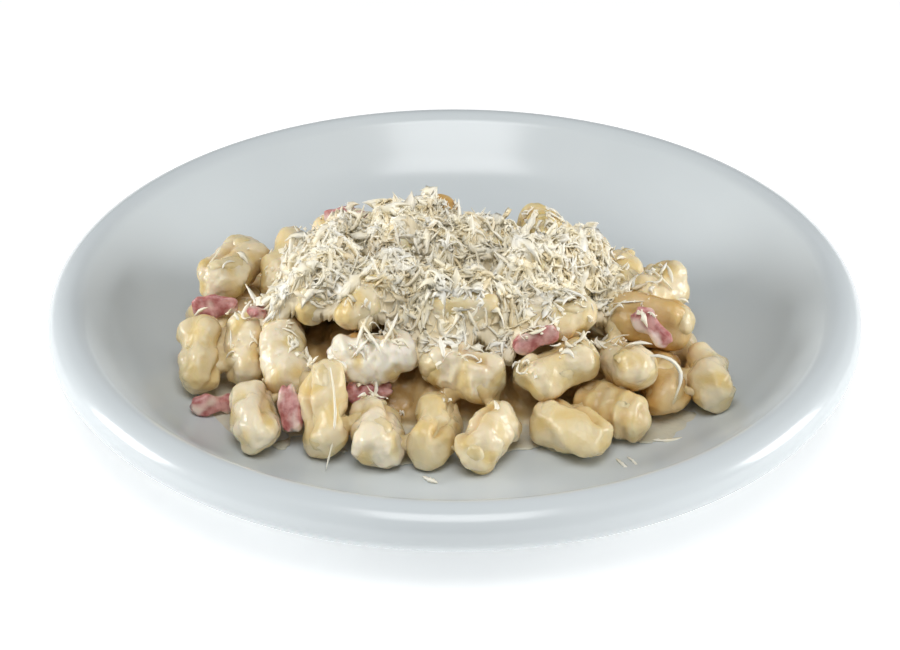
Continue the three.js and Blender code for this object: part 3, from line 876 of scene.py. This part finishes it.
def make_cheese(top, material):
    throw = dice(500)
    highest = cad_box[1][2] / MM - 0.1
    face, share = mound_heights(top)
    make_matted_cheese(face, share, material)
    ground = np.where(share > 0.15, np.maximum(face, top - 1.0), top)
    thick_part = lambda x, y: cheese_share(x, y) ** 1.3
    # What falls, where, how many, its length and width in mm, its thickness as a share of its
    # width, and how much butter-yellow painted shade the first and lowest of it take.
    falls = [
        ("cheese_flakes", thick_part, 1400, 6.0, 3.6, 0.16, 0.4),
        ("cheese_shreds_on_mound", thick_part, 2900, 6.2, 1.5, 0.36, 0.4),
        ("cheese_shreds_scattered", sprinkled, 900, 5.2, 1.3, 0.42, 0.0),
    ]
    for name, part, count, length, width, flatness, yellow in falls:
        lines, widths = drop_shreds(ground, scatter(part, count, throw), length, width, throw)
        points, faces = shred_mesh(lines, widths, flatness, throw)
        points[:, 2] = np.minimum(points[:, 2], highest)
        # Painted shade: the first shreds to fall, which lie lowest, are painted butter yellow for the warm
        # shade among them.
        warm_shade = yellow * smooth_step(0.55, 0.05, np.arange(len(lines)) / len(lines))
        add_piece(name, points, faces, material,
                  {"warm_shade": np.repeat(warm_shade, len(points) // len(lines))})
    spots = np.concatenate([scatter(thick_part, 1300, throw), scatter(sprinkled, 900, throw)])
    sizes = throw.lognormal(math.log(1.0), 0.4, len(spots))
    heights = ground[cell_at(spots[:, 0], spots[:, 1])] + 0.2
    points, faces = crumb_mesh(np.column_stack([spots, heights]), sizes, throw)
    points[:, 2] = np.minimum(points[:, 2], highest)
    add_piece("cheese_crumbs", points, faces, material, smooth=False)


# The few shreds that show one by one: where each lies, from end to end, and its width.
lone_shreds = [
    {"width": 1.7, "route": [(-37, -60, 35), (-35.5, -66.5, 29), (-35.5, -69.5, 21), (-37, -71.5, 13),
                             (-38.5, -73, 8)]},
    {"width": 1.5, "route": [(56, -46.5, 30), (60.5, -47, 32), (66, -48, 31), (69, -49, 27),
                             (68.5, -49.5, 22), (67, -50, 18)]},
    {"width": 1.1, "route": [(59.5, -46, 17), (64, -46.5, 16), (69.5, -46, 15.5)]},
    {"width": 1.5, "route": [(-28.5, -40, 39), (-25, -46, 37), (-22.5, -49, 34)]},
    {"width": 1.5, "route": [(-17.5, -38, 41), (-19, -43, 39), (-21.5, -47, 36)]},
    {"width": 1.1, "route": [(-66, -14, 37), (-64, -17, 35), (-62, -20, 32.5), (-59.5, -22, 31)]},
    {"width": 1.3, "route": [(48.5, -67.5, 7.6), (50, -70.5, 7.9), (51.5, -72.5, 7.6)]},
    {"width": 1.3, "route": [(52, -66.5, 7.6), (53.5, -69, 7.9), (55, -72.5, 7.6)]},
    {"width": 1.4, "route": [(-9.5, -76.5, 7.6), (-7.5, -78.5, 7.9), (-5.5, -79.5, 7.6)]},
    {"width": 1.2, "route": [(60.5, -57.5, 7.7), (65, -58.5, 8.0), (71.5, -56, 7.7)]},
]


def make_lone_shreds(material):
    stations = 14
    share = np.linspace(0, 1, stations)
    lines = []
    for shred in lone_shreds:
        route = np.array(shred["route"], float)
        knots = np.linspace(0, 1, len(route))
        line = np.stack([np.interp(share, knots, route[:, i]) for i in range(3)], 1)
        for _ in range(3):
            line[1:-1] = (line[:-2] + 2 * line[1:-1] + line[2:]) / 4
        lines.append(line)
    widths = np.array([shred["width"] for shred in lone_shreds])
    points, faces = shred_mesh(np.array(lines), widths, 0.5, dice(521))
    add_piece("cheese_shreds_lone", points, faces, material)


# ---------- studio ----------


def make_floor():
    material, tree, place = start_material("pale_floor")
    grain = add(tree, "ShaderNodeTexNoise", {"Scale": per(400.0)}, {"Vector": place})
    tint = add(tree, "ShaderNodeMix", {"data_type": "RGBA", 6: lin("#f4f5f5"), 7: lin("#f8f8f8")},
               {0: grain.outputs[0]})
    finish_material(tree, {"Roughness": 0.7, "Emission Color": lin("#ffffff"), "Emission Strength": 0.32},
                    {"Base Color": tint.outputs[2]})
    mesh = bpy.data.meshes.new("floor")
    half = 4.0
    corners = [(-half, -half, 0), (half, -half, 0), (half, half, 0), (-half, half, 0)]
    mesh.from_pydata(corners, [], [(0, 1, 2, 3)])
    mesh.materials.append(material)
    floor = bpy.data.objects.new("floor", mesh)
    bpy.context.scene.collection.objects.link(floor)


def add_lamp(name, azimuth, elevation, width, height, power):
    """A soft box that looks at the heap. Azimuth 0 is behind the camera, and 90 is to the right."""
    a, e = math.radians(azimuth), math.radians(elevation)
    way = Vector((math.sin(a) * math.cos(e), -math.cos(a) * math.cos(e), math.sin(e)))
    lamp = bpy.data.lights.new(name, "AREA")
    lamp.shape = "RECTANGLE"
    lamp.size = width
    lamp.size_y = height
    lamp.energy = power
    box = bpy.data.objects.new(name, lamp)
    box.location = Vector((0, -0.01, 0.02)) + way * 1.3
    box.rotation_euler = way.to_track_quat("Z", "Y").to_euler()
    bpy.context.scene.collection.objects.link(box)


def make_studio():
    # Where each box stands in degrees, its width and height in metres, and its power in watts.
    add_lamp("left_box", -90, 16, 0.5, 0.45, 11.5)
    add_lamp("right_box", 90, 16, 0.5, 0.45, 10.5)
    add_lamp("front_left_box", -45, 58, 0.6, 0.6, 0.6)
    add_lamp("front_right_box", 50, 50, 0.6, 0.6, 0.8)
    add_lamp("high_front_box", 0, 66, 0.7, 0.7, 8.2)
    world = bpy.data.worlds.new("soft_room")
    world.use_nodes = True
    back = world.node_tree.nodes["Background"]
    back.inputs["Color"].default_value = lin("#eef3f7")
    back.inputs["Strength"].default_value = 0.12
    bpy.context.scene.world = world
    bpy.context.scene.view_settings.view_transform = "Standard"


def make_camera():
    aim = Vector((-1.57, -30.28, 32.0)) * MM
    elevation = math.radians(31.54)
    back = Vector((0, -math.cos(elevation), math.sin(elevation)))
    lens = bpy.data.cameras.new("camera")
    lens.lens = 80.0
    lens.sensor_width = 36.0
    camera = bpy.data.objects.new("camera", lens)
    camera.location = aim + back * 0.620
    camera.rotation_euler = back.to_track_quat("Z", "Y").to_euler()
    bpy.context.scene.collection.objects.link(camera)
    bpy.context.scene.camera = camera


# ---------- the whole ----------

make_camera()
make_studio()
make_floor()

make_plate(glazed_porcelain())
gnocco_bars = [bar_of(name) for name in sorted(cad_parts) if name.startswith("gnocco")]
ham_bars = [bar_of(name) for name in sorted(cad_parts) if name.startswith("ham")]
solid_top = bar_heights(gnocco_bars + ham_bars)
heap_face = bridged(solid_top, 5.0)
make_gnocchi(gnocco_bars, heap_face, boiled_potato_dough())
make_ham(ham_bars, cooked_ham())
cream_top = cream_heights(*make_cream(gnocco_bars, heap_face, reduced_cream()))
hard_cheese = grated_hard_cheese()
make_cheese(np.maximum(solid_top, cream_top), hard_cheese)
make_lone_shreds(hard_cheese)
